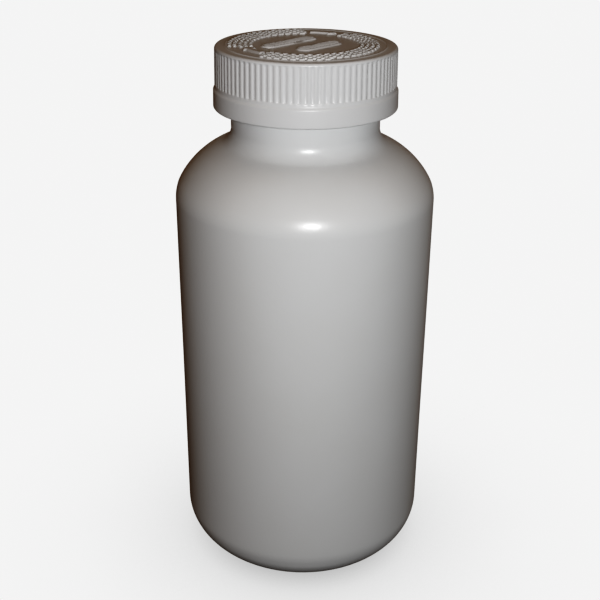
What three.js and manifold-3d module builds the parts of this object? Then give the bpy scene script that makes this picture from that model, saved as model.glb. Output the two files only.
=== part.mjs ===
// Wide-mouth round packer bottle with a two-shell push-down-and-turn closure.
// Units are millimetres, +Z is up, and the origin is the centre of the standing
// ring that the bottle rests on.  Every piece is drawn in its closed, rest place:
// the inner cap is screwed fully down on the liner, and the outer cap is up.
import * as THREE from 'three';
import { mergeVertices } from 'three/addons/utils/BufferGeometryUtils.js';
import Module from 'manifold-3d';

const wasm = await Module();
wasm.setup();

// ---------------------------------------------------------------- dimensions
// bottle body
const BODY_R = 42.5;            // outside radius of the straight wall
const WALL_T = 1.25;            // wall thickness of the moulding
const HEEL_R = 16.5;            // heel curve, radial
const HEEL_H = 15.3;            // heel curve, vertical
const STAND_IN_R = 21.0;        // standing ring, inner radius
const STAND_OUT_R = BODY_R - HEEL_R; // standing ring, outer radius
const PUSH_UP = 3.0;            // height of the pushed-up base centre
const WALL_TOP_Z = 131.3;       // end of the straight wall
const CORNER_R = 12.5;          // round between wall and shoulder dome
const CORNER_A = 30.6;          // this round ends at this angle, degrees
const DOME_R = 27.4;            // shoulder dome
const DOME_A = 67.45;           // the dome ends at this angle, degrees
const NECK_FILLET_R = 6.1;      // fillet between dome and neck
// neck finish, 53-400 size
const ROOT_R = 25.05;           // thread root radius
const CREST_R = 26.0;           // thread crest radius
const BORE_R = 22.2;            // inside radius of the mouth
const FINISH_Z = 162.6;         // bottom of the finish
const LAND_Z = 173.2;           // sealing land
const LEAD = 4.233;             // six threads to the inch
const THREAD_Z = 166.0;         // centre of the male thread at its lower end
const THREAD_TURNS = 1.2;
const THREAD_HALF_ROOT = 1.05;  // half width at the root
const THREAD_HALF_CREST = 0.45; // half width at the crest
// liner
const LINER_R = 25.85;
const LINER_T = 1.1;
const SEAT_GAP = 0.12;          // play between stacked pieces
// inner cap
const INNER_ROOT_R = 26.32;     // inside radius of its skirt
const INNER_CREST_R = 25.32;    // inside radius over its thread
const INNER_OUT_R = 27.05;      // outside radius of its skirt
const INNER_TOP_T = 1.2;
const INNER_BOTTOM_Z = 163.0;
// outer cap
const CAP_TOP_Z = 180.8;        // top of the raised marks
const MARK_H = 0.6;             // they stand this far above the flat top
const CAP_FLAT_Z = CAP_TOP_Z - MARK_H;
const CAP_BOTTOM_Z = 161.0;
const CAP_IN_R = 27.32;
const CAP_TOP_T = 1.0;
const BAND_R = 29.4;            // smooth lower band
const BAND_TOP_Z = 166.6;       // it slopes in from here
const COLLAR_Z = 167.7;         // to a plain collar, level with the rib crests
const RIB_Z0 = 168.5;
const RIB_ROOT_R = 28.34;
const RIB_CREST_R = 28.72;
const RIB_COUNT = 90;
const CAP_EDGE_R = 0.9;         // round of the top edge
const BEAD_IN_R = 26.55;        // bead that holds the inner cap in
const MARK_R0 = 16.9;           // ring of raised marks round the top
const MARK_R1 = 24.5;
const MARK_COUNT = 36;
const MARK_GAPS = [214, 72];    // left out round these directions, degrees
const GRIP_L = 18.0;            // two raised grip bars in the middle of the top
const GRIP_W = 4.8;
const GRIP_OFFSET = 5.2;
const GRIP_DEG = 47;
// drive lugs between the caps
const LUG_COUNT = 12;
const LUG_R0 = 19.8;
const LUG_R1 = 24.2;
const LUG_H = 1.4;
const LUG_W = 3.6;
const PUSH_TRAVEL = 1.6;        // how far the outer cap goes down
// spring ring between the caps
const SPRING_R0 = 11.5;
const SPRING_R1 = 16.5;
const SPRING_T = 0.5;
const SPRING_FINGERS = 6;
const SPRING_FINGER_DEG = 46;

const SEG_BOTTLE = 48;
const SEG_CAP = 60;
const rad = THREE.MathUtils.degToRad;

// derived heights
const LINER_Z0 = LAND_Z + SEAT_GAP;
const LINER_Z1 = LINER_Z0 + LINER_T;
const INNER_PANEL_Z0 = LINER_Z1 + SEAT_GAP;
const INNER_PANEL_Z1 = INNER_PANEL_Z0 + INNER_TOP_T;
const CAP_UNDER_Z = CAP_FLAT_Z - CAP_TOP_T;
const SPRING_Z0 = INNER_PANEL_Z1 + SEAT_GAP;
const SPRING_Z1 = CAP_UNDER_Z - SEAT_GAP;

// ------------------------------------------------------------------- helpers
function toManifold(geometry) {
  let g = geometry.index ? geometry.clone() : mergeVertices(geometry.clone());
  for (const name of Object.keys(g.attributes)) if (name !== 'position') g.deleteAttribute(name);
  g = mergeVertices(g, 1e-4);
  const p = g.attributes.position;
  const index = g.index.array;
  const tris = [];
  for (let i = 0; i < index.length; i += 3) {
    const a = index[i], b = index[i + 1], c = index[i + 2];
    if (a !== b && b !== c && c !== a) tris.push(a, b, c);
  }
  let volume = 0;
  const A = new THREE.Vector3(), B = new THREE.Vector3(), C = new THREE.Vector3();
  for (let i = 0; i < tris.length; i += 3) {
    A.fromBufferAttribute(p, tris[i]);
    B.fromBufferAttribute(p, tris[i + 1]);
    C.fromBufferAttribute(p, tris[i + 2]);
    volume += A.dot(B.clone().cross(C));
  }
  if (volume < 0) for (let i = 0; i < tris.length; i += 3) {
    const t = tris[i + 1]; tris[i + 1] = tris[i + 2]; tris[i + 2] = t;
  }
  return new wasm.Manifold(new wasm.Mesh({
    numProp: 3,
    vertProperties: new Float32Array(p.array),
    triVerts: new Uint32Array(tris),
  }));
}

function toGeometry(manifold) {
  const m = manifold.getMesh();
  const g = new THREE.BufferGeometry();
  const xyz = new Float32Array(m.numVert * 3);
  for (let i = 0; i < m.numVert; i++)
    for (let k = 0; k < 3; k++) xyz[3 * i + k] = m.vertProperties[m.numProp * i + k];
  g.setAttribute('position', new THREE.BufferAttribute(xyz, 3));
  g.setIndex(new THREE.BufferAttribute(new Uint32Array(m.triVerts), 1));
  g.computeVertexNormals();
  return g;
}

// a turned solid from [radius, z] points
function turned(points, segments) {
  const g = new THREE.LatheGeometry(points.map(([r, z]) => new THREE.Vector2(r, z)), segments);
  g.rotateX(Math.PI / 2);
  return toManifold(g);
}

function disc(radius, z0, z1, segments) {
  return turned([[0, z0], [radius, z0], [radius, z1], [0, z1]], segments);
}

// points on an ellipse arc, angles in degrees from +radius towards +z
function arc(cr, cz, a, b, from, to, steps) {
  const out = [];
  for (let i = 0; i <= steps; i++) {
    const t = rad(from + (to - from) * i / steps);
    out.push([cr + a * Math.cos(t), cz + b * Math.sin(t)]);
  }
  return out;
}

// a bar of section [radial offset, axial offset], bent round the axis as a helix;
// a tapered bar runs out at both ends, on the side that crestSide points to
function helixBar(section, baseR, z0, rise, startDeg, spanDeg, steps, taperDeg = 0, crestSide = 1) {
  const shape = new THREE.Shape(section.map(([x, y]) => new THREE.Vector2(x, y)));
  const g = new THREE.ExtrudeGeometry(shape, { depth: 1, steps, bevelEnabled: false });
  const p = g.attributes.position;
  for (let i = 0; i < p.count; i++) {
    const t = p.getZ(i);
    const angle = rad(startDeg + spanDeg * t);
    const full = taperDeg > 0 ? Math.min(1, t * spanDeg / taperDeg, (1 - t) * spanDeg / taperDeg) : 1;
    let dr = p.getX(i);
    if (dr * crestSide > 0) dr *= 0.15 + 0.85 * full;
    const r = baseR + dr;
    p.setXYZ(i, r * Math.cos(angle), r * Math.sin(angle), z0 + rise * t + p.getY(i) * (0.5 + 0.5 * full));
  }
  return toManifold(g);
}

// a block of outline [along, z] standing radially between r0 and r1 at an angle
function radialBlock(outline, r0, r1, deg) {
  const shape = new THREE.Shape(outline.map(([x, y]) => new THREE.Vector2(x, y)));
  const g = new THREE.ExtrudeGeometry(shape, { depth: r1 - r0, bevelEnabled: false });
  g.rotateX(Math.PI / 2);            // outline stands up, depth runs along -Y
  g.translate(0, r1, 0);             // block spans Y = r0 to r1
  g.rotateZ(rad(deg - 90));
  return toManifold(g);
}

function join(parts) {
  return parts.reduce((a, b) => a.add(b));
}

// ----------------------------------------------------------------- bottle
// centres of the shoulder's arcs, each tangent to the one below it
const cornerC = [BODY_R - CORNER_R, WALL_TOP_Z];
const domeC = [
  cornerC[0] + (CORNER_R - DOME_R) * Math.cos(rad(CORNER_A)),
  cornerC[1] + (CORNER_R - DOME_R) * Math.sin(rad(CORNER_A)),
];
const filletC = [
  domeC[0] + (DOME_R + NECK_FILLET_R) * Math.cos(rad(DOME_A)),
  domeC[1] + (DOME_R + NECK_FILLET_R) * Math.sin(rad(DOME_A)),
];
const NECK_R = filletC[0] - NECK_FILLET_R;   // neck below the thread
const NECK_Z = filletC[1];                   // bottom of the straight neck
// outside profile, from the base centre up to the land
const outside = [
  [0, PUSH_UP], [10, PUSH_UP * 0.82], [17, PUSH_UP * 0.38], [STAND_IN_R, 0], [STAND_OUT_R, 0],
  ...arc(STAND_OUT_R, HEEL_H, HEEL_R, HEEL_H, -78, 0, 6),
  ...arc(...cornerC, CORNER_R, CORNER_R, 0, CORNER_A, 3),
  ...arc(...domeC, DOME_R, DOME_R, CORNER_A, DOME_A, 4).slice(1),
  ...arc(...filletC, NECK_FILLET_R, NECK_FILLET_R, 180 + DOME_A, 180, 4).slice(1),
  [NECK_R, FINISH_Z - 0.9], [ROOT_R, FINISH_Z], [ROOT_R, LAND_Z - 0.5], [ROOT_R - 0.5, LAND_Z],
];
// inside profile, from the mouth down to the base centre
const inside = [
  [BORE_R + 0.4, LAND_Z], [BORE_R, LAND_Z - 0.4], [BORE_R, NECK_Z + 2],
  ...arc(...filletC, NECK_FILLET_R + WALL_T, NECK_FILLET_R + WALL_T, 180, 180 + DOME_A, 3),
  ...arc(...domeC, DOME_R - WALL_T, DOME_R - WALL_T, DOME_A, CORNER_A, 3).slice(1),
  ...arc(...cornerC, CORNER_R - WALL_T, CORNER_R - WALL_T, CORNER_A, 0, 2).slice(1),
  ...arc(STAND_OUT_R, HEEL_H, HEEL_R - WALL_T, HEEL_H - WALL_T, 0, -80, 4),
  [STAND_IN_R - 1.0, WALL_T], [15.5, PUSH_UP * 0.45 + WALL_T], [9, PUSH_UP * 0.85 + WALL_T], [0, PUSH_UP + WALL_T],
];
const threadSection = [
  [-0.6, -THREAD_HALF_ROOT], [0, -THREAD_HALF_ROOT], [CREST_R - ROOT_R, -THREAD_HALF_CREST],
  [CREST_R - ROOT_R, THREAD_HALF_CREST], [0, THREAD_HALF_ROOT], [-0.6, THREAD_HALF_ROOT],
];
const bottle = join([
  turned([...outside, ...inside], SEG_BOTTLE),
  helixBar(threadSection, ROOT_R, THREAD_Z, LEAD * THREAD_TURNS, 0, 360 * THREAD_TURNS, Math.round(48 * THREAD_TURNS), 18, 1),
]);

// ------------------------------------------------------------------ liner
const liner = disc(LINER_R, LINER_Z0, LINER_Z1, SEG_CAP);

// --------------------------------------------------------------- inner cap
// the skirt and top as one turned cup, then the thread inside and lugs on top
const innerCup = turned([
  [0, INNER_PANEL_Z0], [INNER_ROOT_R, INNER_PANEL_Z0], [INNER_ROOT_R, INNER_BOTTOM_Z],
  [INNER_OUT_R, INNER_BOTTOM_Z], [INNER_OUT_R, INNER_PANEL_Z1 - 0.6], [INNER_OUT_R - 0.6, INNER_PANEL_Z1],
  [0, INNER_PANEL_Z1],
], SEG_CAP);
const THREAD_OFFSET = -1.6;     // its thread runs below the bottle's thread
const innerSection = [
  [0.35, -THREAD_HALF_ROOT], [0, -THREAD_HALF_ROOT], [INNER_CREST_R - INNER_ROOT_R, -THREAD_HALF_CREST],
  [INNER_CREST_R - INNER_ROOT_R, THREAD_HALF_CREST], [0, THREAD_HALF_ROOT], [0.35, THREAD_HALF_ROOT],
];
const innerThread = helixBar(innerSection, INNER_ROOT_R, THREAD_Z + THREAD_OFFSET + LEAD * 0.22, LEAD, 360 * 0.22, 360, 48, 18, -1);
const lugRamp = 1.2;
const innerLugs = [];
for (let i = 0; i < LUG_COUNT; i++)
  innerLugs.push(radialBlock([
    [-LUG_W / 2, INNER_PANEL_Z1 - 0.3], [LUG_W / 2, INNER_PANEL_Z1 - 0.3],
    [LUG_W / 2, INNER_PANEL_Z1 + LUG_H], [-LUG_W / 2 + lugRamp, INNER_PANEL_Z1 + LUG_H],
    [-LUG_W / 2, INNER_PANEL_Z1 + 0.2],
  ], LUG_R0, LUG_R1, i * 360 / LUG_COUNT));
const innerCap = join([innerCup, innerThread, ...innerLugs]);

// -------------------------------------------------------------- spring ring
// a flat ring under the outer cap, with leaf fingers that slope down to the inner cap
const springBase = turned([
  [SPRING_R0, SPRING_Z1 - SPRING_T], [SPRING_R1, SPRING_Z1 - SPRING_T], [SPRING_R1, SPRING_Z1],
  [SPRING_R0, SPRING_Z1], [SPRING_R0, SPRING_Z1 - SPRING_T],
], 48);
const springFall = SPRING_Z1 - SPRING_Z0 - SPRING_T;
const fingers = [];
for (let i = 0; i < SPRING_FINGERS; i++)
  fingers.push(helixBar([
    [0.7, 0], [SPRING_R1 - SPRING_R0 - 0.7, 0], [SPRING_R1 - SPRING_R0 - 0.7, SPRING_T], [0.7, SPRING_T],
  ], SPRING_R0, SPRING_Z1 - SPRING_T, -springFall, i * 360 / SPRING_FINGERS, SPRING_FINGER_DEG, 8));
const springRing = join([springBase, ...fingers]);

// ---------------------------------------------------------------- outer cap
// smooth shell with its lower band, the ribbed ring, then the cavity, bead and lugs
const shell = turned([
  [0, CAP_BOTTOM_Z],
  [BAND_R - 0.8, CAP_BOTTOM_Z], [BAND_R - 0.24, CAP_BOTTOM_Z + 0.24], [BAND_R, CAP_BOTTOM_Z + 0.8],
  [BAND_R, BAND_TOP_Z], [BAND_R - 0.18, BAND_TOP_Z + 0.4], [RIB_CREST_R, COLLAR_Z],
  [RIB_CREST_R, RIB_Z0 - 0.1], [RIB_ROOT_R, RIB_Z0 + 0.3],
  ...arc(RIB_ROOT_R - CAP_EDGE_R, CAP_FLAT_Z - CAP_EDGE_R, CAP_EDGE_R, CAP_EDGE_R, 0, 90, 3),
  [0, CAP_FLAT_Z],
], SEG_CAP);
const ribOutline = [];
for (let i = 0; i < RIB_COUNT; i++) {
  const pitch = 2 * Math.PI / RIB_COUNT;
  for (const [f, r] of [[-0.28, RIB_CREST_R], [0.28, RIB_CREST_R], [0.5, RIB_ROOT_R - 0.12]])
    ribOutline.push(new THREE.Vector2(r * Math.cos((i + f) * pitch), r * Math.sin((i + f) * pitch)));
}
const ribShape = new THREE.Shape(ribOutline);
const ribHole = new THREE.Path();
ribHole.absarc(0, 0, CAP_IN_R + 0.2, 0, 2 * Math.PI, true);
ribShape.holes.push(ribHole);
const ribs = new THREE.ExtrudeGeometry(ribShape, { depth: CAP_FLAT_Z - CAP_EDGE_R + 0.25 - RIB_Z0 + 0.3, bevelEnabled: false, curveSegments: 36 });
ribs.translate(0, 0, RIB_Z0 - 0.3);
const cavity = turned([
  [0, CAP_BOTTOM_Z - 5], [CAP_IN_R + 0.5, CAP_BOTTOM_Z - 5], [CAP_IN_R + 0.5, CAP_BOTTOM_Z],
  [BEAD_IN_R, CAP_BOTTOM_Z + 0.9], [BEAD_IN_R, CAP_BOTTOM_Z + 1.3], [CAP_IN_R, INNER_BOTTOM_Z - 0.15],
  [CAP_IN_R, CAP_UNDER_Z - 0.5], [CAP_IN_R - 0.5, CAP_UNDER_Z], [0, CAP_UNDER_Z],
], SEG_CAP);
const outerLugs = [];
for (let i = 0; i < LUG_COUNT; i++)
  outerLugs.push(radialBlock([
    [-LUG_W / 2, CAP_UNDER_Z + 0.3], [-LUG_W / 2, CAP_UNDER_Z - LUG_H], [LUG_W / 2 - lugRamp, CAP_UNDER_Z - LUG_H],
    [LUG_W / 2, CAP_UNDER_Z - 0.2], [LUG_W / 2, CAP_UNDER_Z + 0.3],
  ], LUG_R0, LUG_R1, (i + 0.5) * 360 / LUG_COUNT));
// plain raised marks on the flat top: two grip bars, inside a broken ring of short blocks
const marks = [];
const markZ0 = CAP_FLAT_Z - 0.25;
function arcMark(r0, r1, fromDeg, toDeg, steps) {
  return helixBar([[0, 0], [r1 - r0, 0], [r1 - r0, CAP_TOP_Z - markZ0], [0, CAP_TOP_Z - markZ0]],
    r0, markZ0, 0, fromDeg, toDeg - fromDeg, steps);
}
for (const side of [-1, 1]) {
  const bar = new THREE.BoxGeometry(GRIP_L, GRIP_W, CAP_TOP_Z - markZ0);
  bar.translate(0, side * GRIP_OFFSET, (CAP_TOP_Z + markZ0) / 2);
  bar.rotateZ(rad(GRIP_DEG));
  marks.push(toManifold(bar));
}
for (let i = 0; i < MARK_COUNT; i++) {
  const mid = (i + 0.5) * 360 / MARK_COUNT;
  const off = Math.min(...MARK_GAPS.map((g) => Math.abs(((mid - g + 540) % 360) - 180)));
  marks.push(arcMark(MARK_R0, off > 21 ? MARK_R1 : MARK_R0 + 4.4, mid - 3.3, mid + 3.3, 1));
}
const outerCap = join([shell, toManifold(ribs)]).subtract(cavity).add(join(outerLugs)).add(join(marks));

// -------------------------------------------------------------- scene graph
const white = 0xdfe0e0;
function piece(name, manifold, color, roughness) {
  const mesh = new THREE.Mesh(toGeometry(manifold), new THREE.MeshStandardMaterial({ color, roughness, metalness: 0 }));
  mesh.name = name;
  return mesh;
}
const group = new THREE.Group();
group.add(piece('bottle', bottle, 0xdcdddc, 0.38));
const closure = new THREE.Group();
closure.add(piece('liner', liner, 0xd9d2c0, 0.85));
closure.add(piece('inner_cap', innerCap, 0xe4e5e4, 0.5));
closure.add(piece('spring_ring', springRing, 0xe6e6e2, 0.5));
closure.add(piece('outer_cap', outerCap, white, 0.45));
group.add(closure);

export default group;
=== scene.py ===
# Wide-mouth packer bottle with a two-shell push-down-and-turn closure: the looks.
import math
import random

import bpy
import numpy as np
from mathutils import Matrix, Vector


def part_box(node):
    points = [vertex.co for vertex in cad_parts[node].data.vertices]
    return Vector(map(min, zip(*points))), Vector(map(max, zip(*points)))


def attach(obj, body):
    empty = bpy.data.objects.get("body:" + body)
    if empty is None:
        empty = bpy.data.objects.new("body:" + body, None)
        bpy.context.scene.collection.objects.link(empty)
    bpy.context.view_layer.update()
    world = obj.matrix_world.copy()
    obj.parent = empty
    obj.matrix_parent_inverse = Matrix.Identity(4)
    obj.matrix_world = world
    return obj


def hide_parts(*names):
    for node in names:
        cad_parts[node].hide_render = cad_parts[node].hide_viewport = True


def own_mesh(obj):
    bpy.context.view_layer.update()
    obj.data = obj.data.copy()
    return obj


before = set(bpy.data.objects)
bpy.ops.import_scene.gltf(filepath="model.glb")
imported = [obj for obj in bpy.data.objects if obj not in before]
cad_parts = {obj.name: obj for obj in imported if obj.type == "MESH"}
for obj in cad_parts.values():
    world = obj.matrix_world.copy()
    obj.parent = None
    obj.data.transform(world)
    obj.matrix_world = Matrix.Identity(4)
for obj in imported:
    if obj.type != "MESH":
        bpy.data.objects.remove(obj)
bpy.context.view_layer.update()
MM = 0.001
random.seed(11)

# ------------------------------------------------------------------ sizes, mm
blo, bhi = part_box("bottle")
clo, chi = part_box("outer_cap")
ilo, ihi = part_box("inner_cap")
llo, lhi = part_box("liner")
slo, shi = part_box("spring_ring")

BODY_R = bhi.x / MM
LAND_Z = bhi.z / MM
WALL_T = 1.25
HEEL_R, HEEL_H = 16.5, 15.3
STAND_IN, STAND_OUT = 21.0, BODY_R - 16.5
PUSH_UP = 3.0
WALL_TOP_Z = 131.3
CORNER_R, CORNER_A = 12.5, 30.6
DOME_R, DOME_A = 27.4, 67.45
FILLET_R = 6.1
ROOT_R, CREST_R, BORE_R = 25.05, 26.0, 22.2
FINISH_Z = LAND_Z - 10.6
LEAD = 4.233
THREAD_Z, THREAD_TURNS = LAND_Z - 7.2, 1.2

CAP_TOP = chi.z / MM
MARK_H = 0.6
FLAT = CAP_TOP - MARK_H
CAP_BOT = clo.z / MM
BAND_R = chi.x / MM
CAP_IN_R = 27.32
CAP_UNDER = FLAT - 1.0
BAND_TOP, COLLAR_Z, RIB_Z0 = 166.6, 167.7, 168.45
RIB_DEPTH, RIBS = 0.25, 90
COLLAR_R, TOP_R = 28.82, 28.62
EDGE_R = 0.9
BEAD_R = 26.55
MARK_ROWS = (24.0, 22.35, 20.7, 19.05, 17.4)
MARK_GAPS = (214.0, 72.0)
GRIP_DEG = 47.0
GRIPS = ((5.7, -1.7, 23.0, 5.6), (-5.1, 0.4, 18.5, 5.6))   # offset across and along, length, width
LUGS, LUG_R0, LUG_R1, LUG_H, LUG_W = 12, 19.8, 24.2, 1.4, 3.6

INNER_BOT = ilo.z / MM
INNER_OUT = ihi.x / MM
INNER_ROOT, INNER_CREST = 26.32, 25.32
INNER_TOP = ihi.z / MM - LUG_H
INNER_UNDER = INNER_TOP - 1.2


# ------------------------------------------------------------------- helpers
class Solid:
    """Rings of points about the axis, stitched into one closed skin."""

    def __init__(self):
        self.v, self.f = [], []

    def ring(self, pts):
        start = len(self.v)
        self.v.extend(pts)
        return list(range(start, len(self.v)))

    def join(self, a, b):
        n, m = len(a), len(b)
        if n == m:
            for i in range(n):
                j = (i + 1) % n
                self.f.append((a[i], a[j], b[j], b[i]))
        elif n > m:
            k = n // m
            for j in range(m):
                j2 = (j + 1) % m
                for i in range(k):
                    p, q = a[(j * k + i) % n], a[(j * k + i + 1) % n]
                    if i < k // 2:
                        self.f.append((p, q, b[j]))
                    else:
                        self.f.append((p, q, b[j2]))
                self.f.append((a[(j * k + k // 2) % n], b[j2], b[j]))
        else:
            self.joinr(a, b)

    def joinr(self, a, b):
        """a is the coarse ring and b the fine one."""
        n, m = len(b), len(a)
        k = n // m
        for j in range(m):
            j2 = (j + 1) % m
            for i in range(k):
                p, q = b[(j * k + i) % n], b[(j * k + i + 1) % n]
                self.f.append((q, p, a[j] if i < k // 2 else a[j2]))
            self.f.append((b[(j * k + k // 2) % n], a[j], a[j2]))

    def cap(self, a, z, flip=False):
        c = len(self.v)
        self.v.append((0.0, 0.0, z))
        n = len(a)
        for i in range(n):
            j = (i + 1) % n
            self.f.append((a[j], a[i], c) if flip else (a[i], a[j], c))

    def build(self, name):
        me = bpy.data.meshes.new(name)
        me.from_pydata([(x * MM, y * MM, z * MM) for x, y, z in self.v], [], self.f)
        me.update()
        import bmesh

        bm = bmesh.new()
        bm.from_mesh(me)
        bmesh.ops.recalc_face_normals(bm, faces=bm.faces)
        bm.to_mesh(me)
        bm.free()
        for p in me.polygons:
            p.use_smooth = True
        ob = bpy.data.objects.new(name, me)
        bpy.context.scene.collection.objects.link(ob)
        return ob


def arc(cr, cz, a, b, t0, t1, n):
    return [
        (cr + a * math.cos(math.radians(t0 + (t1 - t0) * i / n)), cz + b * math.sin(math.radians(t0 + (t1 - t0) * i / n)))
        for i in range(n + 1)
    ]


def sstep(e0, e1, x):
    t = np.clip((x - e0) / (e1 - e0), 0, 1)
    return t * t * (3 - 2 * t)


def span(z0, z1, n):
    return [z0 + (z1 - z0) * i / n for i in range(n + 1)]


def thread_height(z, ang, z0, turns, start_turn=0.0, half=0.78, soft=0.42):
    """Height, 0 to 1, of a helical thread at height z and angle ang (0 to 2 pi)."""
    best = np.zeros_like(ang)
    for k in range(-1, 3):
        t = ang / (2 * math.pi) + k
        rel = t - start_turn
        run = np.clip(np.minimum(rel, turns - rel) / 0.06, 0, 1)
        run = run * run * (3 - 2 * run)
        d = np.abs(z - (z0 + LEAD * t))
        prof = 1 - sstep(half - soft, half + soft, d)
        best = np.maximum(best, np.where((rel > 0) & (rel < turns), prof * run, 0))
    return best


# --------------------------------------------------------------------- bottle
def make_bottle():
    N = 240
    ang = np.arange(N) * 2 * math.pi / N
    # a faint parting line stands at the two sides
    seam = np.maximum(np.exp(-((np.sin(ang) * 40) ** 2) * 2.0), 0)
    cc = (BODY_R - CORNER_R, WALL_TOP_Z)
    ca, da = math.radians(CORNER_A), math.radians(DOME_A)
    dc = (cc[0] + (CORNER_R - DOME_R) * math.cos(ca), cc[1] + (CORNER_R - DOME_R) * math.sin(ca))
    fc = (dc[0] + (DOME_R + FILLET_R) * math.cos(da), dc[1] + (DOME_R + FILLET_R) * math.sin(da))
    neck_r, neck_z = fc[0] - FILLET_R, fc[1]
    out = [(3, PUSH_UP * 0.99), (7, PUSH_UP * 0.93), (11, PUSH_UP * 0.8), (14.5, PUSH_UP * 0.58), (17.5, PUSH_UP * 0.3), (19.6, PUSH_UP * 0.1), (20.8, 0.04), (21.4, 0.0), (23.5, 0.0)]
    out += arc(STAND_OUT, HEEL_H, HEEL_R, HEEL_H, -90, 0, 26)
    out += [(BODY_R, z) for z in span(HEEL_H, WALL_TOP_Z, 30)[1:-1]]
    out += arc(cc[0], cc[1], CORNER_R, CORNER_R, 0, CORNER_A, 12)
    out += arc(dc[0], dc[1], DOME_R, DOME_R, CORNER_A, DOME_A, 16)[1:]
    out += arc(fc[0], fc[1], FILLET_R, FILLET_R, 180 + DOME_A, 180, 14)[1:]
    out += [(neck_r, z) for z in span(neck_z, FINISH_Z - 1.5, 5)[1:]]
    out += [(neck_r + 0.03, FINISH_Z - 1.1), (ROOT_R - 0.35, FINISH_Z - 0.35), (ROOT_R - 0.06, FINISH_Z - 0.05)]
    rows = [(r, z, 0.0) for r, z in out]
    rows += [(ROOT_R, z, CREST_R - ROOT_R) for z in span(FINISH_Z + 0.2, LAND_Z - 0.75, 46)]
    lip = arc(ROOT_R - 0.6, LAND_Z - 0.6, 0.6, 0.6, 5, 90, 6) + arc(BORE_R + 0.5, LAND_Z - 0.5, 0.5, 0.5, 90, 180, 5)
    rows += [(r, z, 0.0) for r, z in lip]
    ins = [(BORE_R, z) for z in span(LAND_Z - 2, neck_z + 3.2, 4)]
    ins += arc(fc[0], fc[1], FILLET_R + WALL_T, FILLET_R + WALL_T, 180, 180 + DOME_A, 8)
    ins += arc(dc[0], dc[1], DOME_R - WALL_T, DOME_R - WALL_T, DOME_A, CORNER_A, 8)[1:]
    ins += arc(cc[0], cc[1], CORNER_R - WALL_T, CORNER_R - WALL_T, CORNER_A, 0, 5)[1:]
    ins += [(BODY_R - WALL_T, z) for z in span(WALL_TOP_Z, HEEL_H, 6)[1:-1]]
    ins += arc(STAND_OUT, HEEL_H, HEEL_R - WALL_T, HEEL_H - WALL_T, 0, -88, 12)
    ins += [(20.5, WALL_T + 0.02), (17.5, PUSH_UP * 0.32 + WALL_T), (13, PUSH_UP * 0.7 + WALL_T), (7, PUSH_UP * 0.95 + WALL_T), (3, PUSH_UP + WALL_T)]
    rows += [(r, z, 0.0) for r, z in ins]
    s = Solid()
    prev, first = None, None
    for i, (r, z, th) in enumerate(rows):
        rr = np.full(N, float(r))
        if th:
            rr = rr + th * thread_height(z, ang, THREAD_Z, THREAD_TURNS)
        outer_wall = 10 < z < neck_z and i < len(out)
        if outer_wall:
            # the blown wall isn't dead true: long soft waves of a few hundredths of a millimetre
            rr = rr - 0.05 - 0.045 * np.sin(3 * ang + z * 0.021) * np.sin(z * 0.043 + 1.0) - 0.02 * np.sin(7 * ang - z * 0.05)
            rr = rr + 0.03 * seam
            rr = np.minimum(rr, BODY_R)
        ring = s.ring(list(zip(rr * np.cos(ang), rr * np.sin(ang), np.full(N, z))))
        if prev is None:
            first = ring
        else:
            s.join(prev, ring)
        prev = ring
    s.cap(first, PUSH_UP * 1.0, flip=True)
    s.cap(prev, PUSH_UP + WALL_T)
    return s.build("bottle_shell")


# ---------------------------------------------------------------- outer cap
def wrap(d, c):
    return (d - c + 180) % 360 - 180


def grip_bars(r, ang):
    """Height, 0 to 1, of the two serrated bars in the middle of the top."""
    x, y = r * np.cos(ang), r * np.sin(ang)
    a = math.radians(GRIP_DEG)
    h = np.zeros_like(ang)
    for off, along, length, width in GRIPS:
        u = x * math.cos(a) + y * math.sin(a) - along
        v = -x * math.sin(a) + y * math.cos(a) - off
        # round-ended bar
        du = np.maximum(np.abs(u) - (length - width) / 2, 0)
        dist = np.hypot(du, v) - width / 2
        body = 1 - sstep(-0.42, 0.08, dist)
        rim = 1 - sstep(0.0, 0.42, np.abs(dist + 0.55) - 0.12)
        teeth = 0.5 + 0.5 * np.cos(u * 2 * math.pi / 1.45)
        inner = 1 - sstep(-1.2, -0.85, dist)
        h = np.maximum(h, body * 0.15)
        h = np.maximum(h, rim * 0.8)
        h = np.maximum(h, inner * (0.15 + 0.85 * teeth))
    return h


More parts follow.
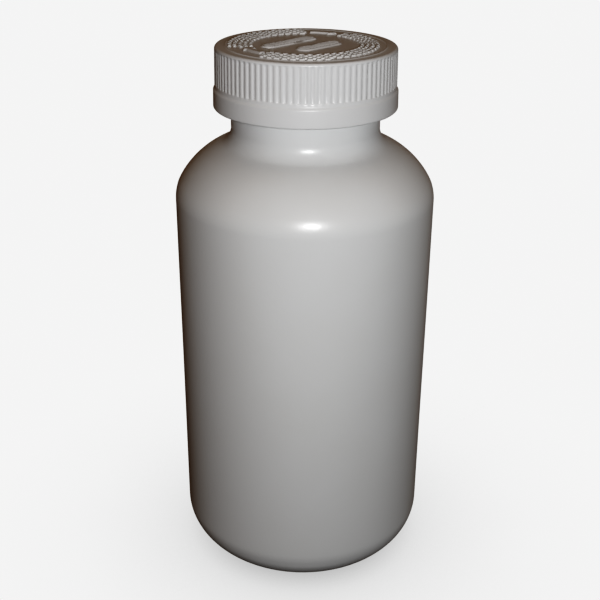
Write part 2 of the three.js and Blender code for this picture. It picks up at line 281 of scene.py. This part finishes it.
def make_outer_cap():
    PER = 10
    N = RIBS * PER
    NB = N // 3
    NF = N // 2
    ang = np.arange(N) * 2 * math.pi / N
    angb = np.arange(NB) * 2 * math.pi / NB
    angf = np.arange(NF) * 2 * math.pi / NF
    wave = 0.5 + 0.5 * np.cos(ang * RIBS)
    rib = sstep(0.0, 0.92, wave)

    s = Solid()

    def ring(a, r, z):
        r = r if isinstance(r, np.ndarray) else np.full(len(a), float(r))
        z = z if isinstance(z, np.ndarray) else np.full(len(a), float(z))
        return s.ring(list(zip(r * np.cos(a), r * np.sin(a), z)))

    # lower edge of the skirt from the bead outwards, then the band, which leans in a little
    rows = [(BEAD_R + 0.02, CAP_BOT + 1.12), (BEAD_R, CAP_BOT + 0.95), (BEAD_R + 0.12, CAP_BOT + 0.72), (CAP_IN_R + 0.35, CAP_BOT + 0.12), (CAP_IN_R + 0.55, CAP_BOT + 0.02)]
    rows += arc(BAND_R - 0.7, CAP_BOT + 0.7, 0.7, 0.7, -90, 0, 8)
    rows += [(BAND_R - 0.1 * (z - CAP_BOT - 0.7) / (BAND_TOP - CAP_BOT - 0.7), z) for z in span(CAP_BOT + 0.7, BAND_TOP, 4)[1:]]
    for i in range(1, 11):
        q = i / 10
        rows.append((BAND_R - 0.1 - (BAND_R - 0.1 - COLLAR_R) * q * q * (3 - 2 * q), BAND_TOP + (COLLAR_Z - BAND_TOP) * q))
    prev = first = None
    for r, z in rows:
        cur = ring(angb, r, z)
        if prev is None:
            first = cur
        else:
            s.join(prev, cur)
        prev = cur
    # grooves between the ribs, with rounded ends, on a wall that leans in towards the top
    def wall(z):
        return COLLAR_R + (TOP_R - COLLAR_R) * (z - COLLAR_Z) / (FLAT - EDGE_R - COLLAR_Z)

    ztop = FLAT - EDGE_R
    grooves = [(RIB_Z0 - 0.04, 0.0), (RIB_Z0 + 0.04, 0.16), (RIB_Z0 + 0.14, 0.5), (RIB_Z0 + 0.24, 0.84), (RIB_Z0 + 0.34, 1.0)]
    grooves += [(z, 1.0) for z in span(RIB_Z0 + 0.34, ztop - 0.7, 4)[1:]]
    grooves += [(ztop - 0.4, 0.92), (ztop - 0.16, 0.7), (ztop + 0.03, 0.4), (ztop + 0.15, 0.16)]
    for z, depth in grooves:
        cur = ring(ang, wall(z) - RIB_DEPTH * depth * (1 - rib), z)
        s.join(prev, cur)
        prev = cur
    for i in range(1, 9):
        t = math.radians(10 + 80 * i / 8)
        cur = ring(angb, TOP_R - EDGE_R + EDGE_R * math.cos(t), FLAT - EDGE_R + EDGE_R * math.sin(t))
        s.join(prev, cur)
        prev = cur
    # flat rim and a fine raised line
    for r, dz in [(27.2, 0), (25.62, 0), (25.45, 0.05), (25.32, 0.16), (25.14, 0.2), (24.98, 0.12), (24.82, 0)]:
        cur = ring(angb, r, FLAT + dz)
        s.join(prev, cur)
        prev = cur
    # ring of short raised blocks in staggered rows
    d = np.degrees(ang) % 360
    near = np.minimum(np.abs(wrap(d, MARK_GAPS[0])), np.abs(wrap(d, MARK_GAPS[1])))
    s1, s2 = wrap(d, MARK_GAPS[0]), wrap(d, MARK_GAPS[1])
    a = np.where(np.abs(s1) < np.abs(s2), s1, s2)

    def arrow(r):
        """Plain direction arrow in each gap, pointing the closing way."""
        mid = 19.6
        head = np.clip((-3.0 - np.abs(r - mid) * 0.0 + (a + 15.5) * 1.0) / 11.0, 0, 1) * 3.1
        m = np.where((a > -15.5) & (a < -4.5), 1 - sstep(-0.4, 0.2, np.abs(r - mid) - head), 0.0)
        shaft = (a >= -4.6) & (a < 15)
        m = np.where(shaft, 1 - sstep(-0.35, 0.2, abs(r - mid) - 1.2) * np.ones_like(a), m)
        return m * (1 - sstep(14.0, 14.8, a))

    rng = np.random.default_rng(7)
    for k, mid in enumerate(MARK_ROWS):
        count = round(2 * math.pi * mid / 2.5 / 4) * 4
        pos = d / 360 * count + 0.5 * (k % 2)
        cell = np.floor(pos).astype(int) % count
        half = rng.uniform(0.58, 0.74, count)[cell]
        w = np.abs(pos % 1.0 - 0.5 - rng.uniform(-0.08, 0.08, count)[cell]) * 2
        block = 1 - sstep(half - 0.1, half + 0.1, w)
        if mid > 23:
            block = block * sstep(70, 72, np.abs(wrap(d, 0)))
        limit = 21.5 if mid > 21.5 else 17.5
        block = block * sstep(limit, limit + 0.7, near)
        for off in (0.66, 0.54, 0.42, 0.27, -0.27, -0.42, -0.54, -0.66):
            r = mid + off
            rise = float(1 - sstep(0.24, 0.66, abs(off)))
            h = np.maximum(block * rise, arrow(r))
            cur = ring(ang, r, FLAT + MARK_H * h)
            s.join(prev, cur)
            prev = cur
    # inner field
    rr = list(np.arange(16.4, 3.9, -0.24)) + [3.4, 2.8, 2.2, 1.6, 1.0, 0.5]
    for r in rr:
        cur = ring(angf, float(r), FLAT + MARK_H * grip_bars(float(r), angf))
        s.join(prev, cur)
        prev = cur
    s.cap(prev, FLAT)
    # inside of the shell: from the bead up the skirt, then over the underside
    ins = [(CAP_IN_R - 0.42, CAP_BOT + 1.35), (CAP_IN_R - 0.08, CAP_BOT + 1.6), (CAP_IN_R, CAP_BOT + 1.9), (CAP_IN_R, CAP_BOT + 6), (CAP_IN_R, CAP_UNDER - 1.0)] + arc(CAP_IN_R - 0.6, CAP_UNDER - 0.6, 0.6, 0.6, 0, 90, 4)
    ins += [(LUG_R1 + 0.45, CAP_UNDER)]
    prev = first
    for r, z in ins:
        cur = ring(angb, r, z)
        s.join(cur, prev)
        prev = cur
    dc = np.degrees(angb) % 360

    def lug(r, dd, centre0):
        x = np.radians((dd - centre0 + 15) % 30 - 15) * r
        lo, hi = -LUG_W / 2, LUG_W / 2
        m = sstep(lo - 0.05, lo + 0.25, x) * (1 - sstep(hi - 0.25, hi + 0.05, x))
        return m * (0.12 + 0.88 * np.clip((hi - x) / 1.3, 0, 1))

    for r in [LUG_R1 + 0.12, LUG_R1 - 0.08, LUG_R1 - 0.35, 22.0, LUG_R0 + 0.35, LUG_R0 + 0.08, LUG_R0 - 0.12, LUG_R0 - 0.5]:
        k = float(sstep(LUG_R0 - 0.12, LUG_R0 + 0.3, r) * (1 - sstep(LUG_R1 - 0.3, LUG_R1 + 0.12, r)))
        cur = ring(angb, r, CAP_UNDER - LUG_H * k * lug(r, dc, 15))
        s.join(cur, prev)
        prev = cur
    for r in [15.0, 8.0, 3.0]:
        cur = ring(angb, r, CAP_UNDER)
        s.join(cur, prev)
        prev = cur
    s.cap(prev, CAP_UNDER, flip=True)
    return s.build("outer_cap_shell")


# ---------------------------------------------------------------- inner cap
def make_inner_cap():
    N = 360
    ang = np.arange(N) * 2 * math.pi / N
    d = np.degrees(ang)
    s = Solid()
    rows = []  # (radius, z, kind)
    for r in [3.0, 10.0, 18.0]:
        rows.append((r, INNER_TOP, 0))
    for r in [LUG_R0 - 0.12, LUG_R0 + 0.08, LUG_R0 + 0.35, 22.0, LUG_R1 - 0.35, LUG_R1 - 0.08, LUG_R1 + 0.12]:
        rows.append((r, INNER_TOP, 1))
    rows += [(r, z, 0) for r, z in arc(INNER_OUT - 0.7, INNER_TOP - 0.7, 0.7, 0.7, 90, 0, 6)]
    rows += [(INNER_OUT, z, 3) for z in span(INNER_TOP - 1.2, INNER_BOT + 0.5, 5)]
    rows += [(r, z, 0) for r, z in arc(INNER_OUT - 0.25, INNER_BOT + 0.25, 0.25, 0.25, 0, -90, 3) + arc(INNER_ROOT + 0.2, INNER_BOT + 0.2, 0.2, 0.2, -90, -180, 3)]
    rows += [(INNER_ROOT, z, 2) for z in span(INNER_BOT + 0.5, INNER_UNDER - 4.6, 30)]
    rows += [(INNER_ROOT, INNER_UNDER - 0.5, 0), (INNER_ROOT - 0.15, INNER_UNDER - 0.15, 0), (INNER_ROOT - 0.5, INNER_UNDER, 0), (12, INNER_UNDER, 0), (3, INNER_UNDER, 0)]
    prev = first = None
    for r, z, kind in rows:
        rr, zz = np.full(N, float(r)), np.full(N, float(z))
        if kind == 1:
            w = (d + 15) % 30 - 15
            x = np.radians(w) * r
            lo, hi = -LUG_W / 2, LUG_W / 2
            m = sstep(lo - 0.05, lo + 0.25, x) * (1 - sstep(hi - 0.25, hi + 0.05, x))
            ramp = np.clip((x - lo) / 1.3, 0, 1)
            k = float(sstep(LUG_R0 - 0.12, LUG_R0 + 0.3, r) * (1 - sstep(LUG_R1 - 0.3, LUG_R1 + 0.12, r)))
            zz = zz + LUG_H * k * m * (0.12 + 0.88 * ramp)
        if kind == 2:
            rr = rr - (INNER_ROOT - INNER_CREST) * thread_height(z, ang, THREAD_Z - 1.6, 1.0, start_turn=0.22)
        if kind == 3:
            # fine grip flutes where the outer shell rubs
            rr = rr - 0.12 * (0.5 + 0.5 * np.cos(60 * ang))
        ring = s.ring(list(zip(rr * np.cos(ang), rr * np.sin(ang), zz)))
        if prev is None:
            first = ring
        else:
            s.join(prev, ring)
        prev = ring
    s.cap(first, INNER_TOP, flip=True)
    s.cap(prev, INNER_UNDER)
    return s.build("inner_cap_shell")


def make_liner():
    N = 180
    ang = np.arange(N) * 2 * math.pi / N
    z0, z1, R = llo.z / MM, lhi.z / MM, lhi.x / MM
    s = Solid()
    rows = [(4, z0 + 0.02), (14, z0 + 0.02), (20.5, z0 + 0.03), (21.6, z0), (R - 0.12, z0), (R, z0 + 0.12), (R, (z0 + z1) / 2), (R, z1 - 0.12), (R - 0.12, z1), (14, z1), (4, z1)]
    prev = first = None
    for r, z in rows:
        ring = s.ring(list(zip(r * np.cos(ang), r * np.sin(ang), np.full(N, z))))
        if prev is None:
            first = ring
        else:
            s.join(prev, ring)
        prev = ring
    s.cap(first, z0 + 0.02, flip=True)
    s.cap(prev, z1)
    return s.build("liner_disc")


def make_spring():
    """A flat ring with leaf fingers bent down in a smooth curve, one closed strip for each."""
    N = 144
    z0, z1 = slo.z / MM, shi.z / MM
    r0, r1, t = 11.5, shi.x / MM, 0.5
    s = Solid()
    ang = np.arange(N) * 2 * math.pi / N
    rows = [(r0, z1 - t + 0.08), (r0 + 0.08, z1 - t), (r1 - 0.08, z1 - t), (r1, z1 - t + 0.08), (r1, z1 - 0.08), (r1 - 0.08, z1), (r0 + 0.08, z1), (r0, z1 - 0.08)]
    rings = [s.ring(list(zip(r * np.cos(ang), r * np.sin(ang), np.full(N, z)))) for r, z in rows]
    for a, b in zip(rings, rings[1:] + rings[:1]):
        s.join(a, b)
    fall = (z1 - z0) - t
    for i in range(6):
        steps = 22
        prev = None
        for k in range(steps + 1):
            q = k / steps
            a = math.radians(i * 60 + 46 * q)
            drop = fall * (q * q * (3 - 2 * q)) if q < 1 else fall
            wide = 1.0 if q < 0.8 else math.sqrt(max(0.05, 1 - ((q - 0.8) / 0.2) ** 2 * 0.7))
            mid, half = (r0 + r1) / 2, (r1 - r0 - 1.4) / 2 * wide
            zt = z1 - 0.05 - drop
            zb = z1 - t + 0.0 - drop
            zb = max(zb, z0)
            sec = [(mid - half, zb), (mid + half, zb), (mid + half, zt), (mid - half, zt)]
            idx = s.ring([(r * math.cos(a), r * math.sin(a), z) for r, z in sec])
            if prev is None:
                s.f.append(tuple(reversed(idx)))
            else:
                for m in range(4):
                    n = (m + 1) % 4
                    s.f.append((prev[m], prev[n], idx[n], idx[m]))
            prev = idx
        s.f.append(tuple(prev))
    ob = s.build("spring_leaves")
    for p in ob.data.polygons:
        p.use_smooth = False
    return ob


# ----------------------------------------------------------------- materials
def plastic(name, color, rough, bump_scale, bump, mottling=0.03, rough_var=0.02, sss=0.0, coat=0.0, warm=(1.0, 0.995, 0.98)):
    m = bpy.data.materials.new(name)
    m.use_nodes = True
    nt = m.node_tree
    n, l = nt.nodes, nt.links
    b = n["Principled BSDF"]
    tc = n.new("ShaderNodeTexCoord")
    big = n.new("ShaderNodeTexNoise")
    big.inputs["Scale"].default_value = 38.0
    big.inputs["Detail"].default_value = 3.0
    l.new(tc.outputs["Object"], big.inputs["Vector"])
    mix = n.new("ShaderNodeMix")
    mix.data_type = "RGBA"
    c = Vector(color)
    mix.inputs["A"].default_value = (*[x * (1 - mottling) * w for x, w in zip(c, warm)], 1)
    mix.inputs["B"].default_value = (*[min(1, x * (1 + mottling)) for x in c], 1)
    l.new(big.outputs["Fac"], mix.inputs["Factor"])
    l.new(mix.outputs["Result"], b.inputs["Base Color"])
    rn = n.new("ShaderNodeTexNoise")
    rn.inputs["Scale"].default_value = 170.0
    rn.inputs["Detail"].default_value = 5.0
    l.new(tc.outputs["Object"], rn.inputs["Vector"])
    mr = n.new("ShaderNodeMapRange")
    mr.inputs["From Min"].default_value = 0.3
    mr.inputs["From Max"].default_value = 0.7
    mr.inputs["To Min"].default_value = rough - rough_var
    mr.inputs["To Max"].default_value = rough + rough_var
    l.new(rn.outputs["Fac"], mr.inputs["Value"])
    l.new(mr.outputs["Result"], b.inputs["Roughness"])
    fine = n.new("ShaderNodeTexNoise")
    fine.inputs["Scale"].default_value = bump_scale
    fine.inputs["Detail"].default_value = 4.0
    fine.inputs["Roughness"].default_value = 0.6
    l.new(tc.outputs["Object"], fine.inputs["Vector"])
    bp = n.new("ShaderNodeBump")
    bp.inputs["Strength"].default_value = bump
    bp.inputs["Distance"].default_value = 0.0002
    l.new(fine.outputs["Fac"], bp.inputs["Height"])
    l.new(bp.outputs["Normal"], b.inputs["Normal"])
    b.inputs["IOR"].default_value = 1.5
    if sss:
        b.inputs["Subsurface Weight"].default_value = sss
        b.inputs["Subsurface Radius"].default_value = (1.0, 0.85, 0.7)
        b.inputs["Subsurface Scale"].default_value = 0.0015
    if coat:
        b.inputs["Coat Weight"].default_value = coat
        b.inputs["Coat Roughness"].default_value = 0.18
    return m


bottle_mat = plastic("hdpe_white", (0.765, 0.778, 0.79), 0.31, 900.0, 0.12)
cap_mat = plastic("pp_white", (0.765, 0.775, 0.79), 0.32, 1200.0, 0.10)
inner_mat = plastic("pp_inner", (0.72, 0.73, 0.72), 0.45, 900.0, 0.10)
spring_mat = plastic("pp_spring", (0.74, 0.74, 0.71), 0.42, 900.0, 0.10)
liner_mat = plastic("pulp_liner", (0.70, 0.64, 0.52), 0.8, 500.0, 0.6, mottling=0.10)

# -------------------------------------------------------------------- pieces
for make, mat, body, node, slot in (
    (make_bottle, bottle_mat, "bottle", "bottle", "bottle"),
    (make_liner, liner_mat, "liner", "liner", "liner"),
    (make_inner_cap, inner_mat, "inner_cap", "inner_cap", "inner_cap"),
    (make_spring, spring_mat, "spring_ring", "spring_ring", "spring_ring"),
    (make_outer_cap, cap_mat, "outer_cap", "outer_cap", "outer_cap"),
):
    ob = make()
    ob.data.materials.append(mat)
    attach(ob, body)
    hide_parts(node)
    if node == "spring_ring":
        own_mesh(ob)

# --------------------------------------------------------------- camera
R = BODY_R * MM
cam_data = bpy.data.cameras.new("camera")
cam = bpy.data.objects.new("camera", cam_data)
bpy.context.scene.collection.objects.link(cam)
cam_data.sensor_width = 36.0
cam_data.lens = 36.0 * 1012.3 / 600.0
cam_data.clip_start, cam_data.clip_end = 0.01, 50.0
th, roll, yaw = 0.4384731, 0.0074000, -0.0041600
fw = Vector((math.sin(yaw) * math.cos(th), math.cos(yaw) * math.cos(th), -math.sin(th)))
right = fw.cross(Vector((0, 0, 1))).normalized()
up = right.cross(fw)
r2 = right * math.cos(roll) + up * math.sin(roll)
u2 = -right * math.sin(roll) + up * math.cos(roll)
from mathutils import Matrix

rot = Matrix((r2, u2, -fw)).transposed()
cam.matrix_world = Matrix.Translation((0, -7.501457 * R, 5.691767 * R)) @ rot.to_4x4()
bpy.context.scene.camera = cam


# ------------------------------------------------------------ floor and light
def emitter(name, loc, aim, size, watts, color=(1, 1, 1)):
    d = bpy.data.lights.new(name, "AREA")
    d.shape = "DISK"
    d.size = size
    d.energy = watts
    d.color = color
    o = bpy.data.objects.new(name, d)
    bpy.context.scene.collection.objects.link(o)
    o.location = loc
    o.rotation_mode = "QUATERNION"
    o.rotation_quaternion = (Vector(aim) - Vector(loc)).to_track_quat("-Z", "Y")
    return o


KEY_W, BACK_W, SIDE_W = 0.735, 2.5, 0.22
KEY_C, BACK_C, SIDE_C = (1, 1, 1), (0.93, 0.97, 1), (1, 1, 1)
emitter("key", (0.032, -0.335, 0.238), (0, 0, 0.11), 0.035, KEY_W, KEY_C)
emitter("back_fill", (0.0, 0.62, 0.07), (0, 0, 0.08), 0.17, BACK_W, BACK_C).visible_glossy = False
emitter("side_fill", (0.62, 0.16, 0.12), (0, 0, 0.09), 0.22, SIDE_W, SIDE_C).visible_glossy = False

PALE = 0.90
floor_me = bpy.data.meshes.new("floor")
F = 20.0
floor_me.from_pydata([(-F, -F, 0), (F, -F, 0), (F, F, 0), (-F, F, 0)], [], [(0, 1, 2, 3)])
floor = bpy.data.objects.new("floor", floor_me)
bpy.context.scene.collection.objects.link(floor)
fm = bpy.data.materials.new("floor")
fm.use_nodes = True
nt = fm.node_tree
nt.nodes.clear()
o = nt.nodes.new("ShaderNodeOutputMaterial")
em = nt.nodes.new("ShaderNodeEmission")
# painted contact shadow: the floor's even pale glow is dimmed near the object by ambient occlusion, from PALE down
# to 0.46
painted_contact_shadow = nt.nodes.new("ShaderNodeAmbientOcclusion")
painted_contact_shadow.samples = 8
painted_contact_shadow.inputs["Distance"].default_value = 0.09
ramp = nt.nodes.new("ShaderNodeMapRange")
ramp.inputs["From Min"].default_value = 0.0
ramp.inputs["From Max"].default_value = 0.92
ramp.inputs["To Min"].default_value = 0.46
ramp.inputs["To Max"].default_value = PALE
nt.links.new(painted_contact_shadow.outputs["AO"], ramp.inputs["Value"])
nt.links.new(ramp.outputs["Result"], em.inputs["Strength"])
nt.links.new(em.outputs[0], o.inputs["Surface"])
floor_me.materials.append(fm)
floor.visible_diffuse = False
floor.visible_glossy = False

w = bpy.data.worlds.new("studio")
bpy.context.scene.world = w
w.use_nodes = True
nt = w.node_tree
nt.nodes.clear()
out = nt.nodes.new("ShaderNodeOutputWorld")
lp = nt.nodes.new("ShaderNodeLightPath")
cam_bg = nt.nodes.new("ShaderNodeBackground")
cam_bg.inputs["Color"].default_value = (PALE, PALE, PALE, 1)
env = nt.nodes.new("ShaderNodeBackground")
# the room, as one colour for each of six directions, blended by the square of each
ROOM = {
    "+X": (0.016, 0.015, 0.013),
    "-X": (0.040, 0.021, 0.010),
    "+Y": (0.130, 0.075, 0.038),
    "-Y": (0.006, 0.005, 0.005),
    "+Z": (0.128, 0.078, 0.035),
    "-Z": (0.006, 0.005, 0.004),
}
tc = nt.nodes.new("ShaderNodeTexCoord")
sep = nt.nodes.new("ShaderNodeSeparateXYZ")
nt.links.new(tc.outputs["Generated"], sep.inputs[0])
total = None
for key, colour in ROOM.items():
    pos = nt.nodes.new("ShaderNodeMath")
    pos.operation = "MULTIPLY"
    pos.inputs[1].default_value = 1.0 if key[0] == "+" else -1.0
    nt.links.new(sep.outputs[key[1]], pos.inputs[0])
    mx = nt.nodes.new("ShaderNodeMath")
    mx.operation = "MAXIMUM"
    mx.inputs[1].default_value = 0.0
    nt.links.new(pos.outputs[0], mx.inputs[0])
    sq = nt.nodes.new("ShaderNodeMath")
    sq.operation = "POWER"
    sq.inputs[1].default_value = 2.0
    nt.links.new(mx.outputs[0], sq.inputs[0])
    sc = nt.nodes.new("ShaderNodeVectorMath")
    sc.operation = "SCALE"
    sc.inputs[0].default_value = colour
    nt.links.new(sq.outputs[0], sc.inputs["Scale"])
    if total is None:
        total = sc
    else:
        ad = nt.nodes.new("ShaderNodeVectorMath")
        ad.operation = "ADD"
        nt.links.new(total.outputs[0], ad.inputs[0])
        nt.links.new(sc.outputs[0], ad.inputs[1])
        total = ad
nt.links.new(total.outputs[0], env.inputs["Color"])
ms = nt.nodes.new("ShaderNodeMixShader")
nt.links.new(lp.outputs["Is Camera Ray"], ms.inputs[0])
nt.links.new(env.outputs[0], ms.inputs[1])
nt.links.new(cam_bg.outputs[0], ms.inputs[2])
nt.links.new(ms.outputs[0], out.inputs["Surface"])

bpy.context.scene.view_settings.view_transform = "Standard"
bpy.context.scene.view_settings.look = "None"
# the contrast of an ordinary compact camera: soft shoulder, deep shades
vs = bpy.context.scene.view_settings
vs.use_curve_mapping = True
tone = vs.curve_mapping.curves[3]
for x, y in ((0.05, 0.017), (0.10, 0.052), (0.16, 0.108), (0.24, 0.188), (0.36, 0.322), (0.50, 0.500)):
    tone.points.new(x, y)
vs.curve_mapping.update()
